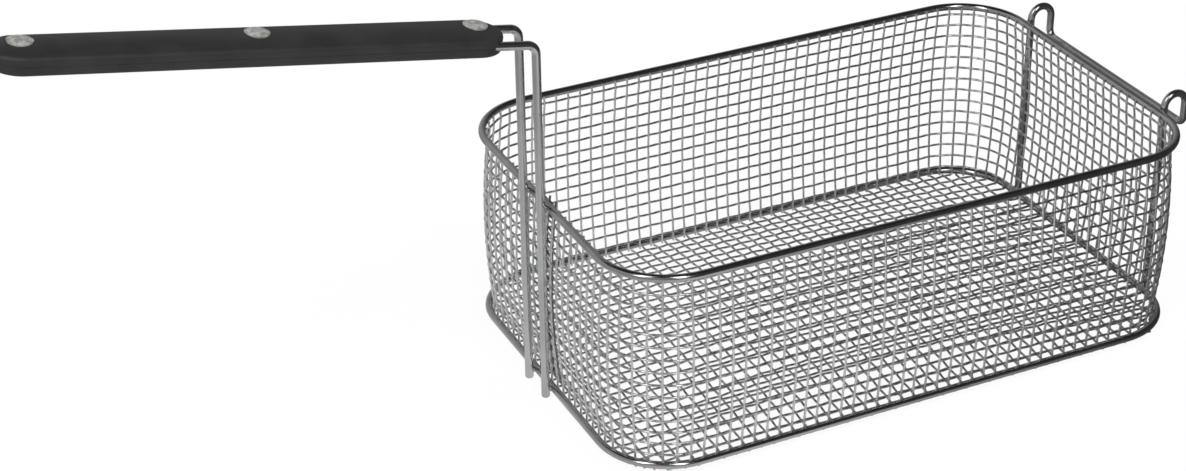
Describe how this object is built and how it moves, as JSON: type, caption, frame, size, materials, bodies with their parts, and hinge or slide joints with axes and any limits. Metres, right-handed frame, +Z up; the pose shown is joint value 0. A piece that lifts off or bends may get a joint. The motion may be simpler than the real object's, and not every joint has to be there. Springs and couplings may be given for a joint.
{
  "type": "deep fryer basket",
  "caption": "Rectangular woven wire fryer basket with rounded corners, a tall riveted grip at one end and a hanger with two hooks at the other.",
  "frame": {"origin": "middle of the tub, on the plane that the basket stands on", "axes": "+Z up; +X along the tub, towards the hanger, so that the handle points along -X; +Y across the tub"},
  "size_m": [0.603, 0.2084, 0.2495],
  "materials": {
    "ring_wire": "bright drawn wire",
    "cloth_wire": "bright drawn wire, crimped",
    "handle_wire": "bright plated",
    "hanger_wire": "bright plated",
    "grip": "matt black moulding",
    "rivet": "dull, pressed"
  },
  "bodies": {
    "root": {"rim_ring": "ring_wire", "base_ring": "ring_wire", "wall_upright_wires": "cloth_wire", "wall_round_wires": "cloth_wire", "wall_seam_wires": "cloth_wire", "floor_long_wires": "cloth_wire", "floor_cross_wires": "cloth_wire", "handle_wire": "handle_wire", "grip_upper": "grip", "grip_lower": "grip", "rivet_near": "rivet", "rivet_middle": "rivet", "rivet_far": "rivet", "hanger_wire": "hanger_wire"}
  },
  "joints": []
}
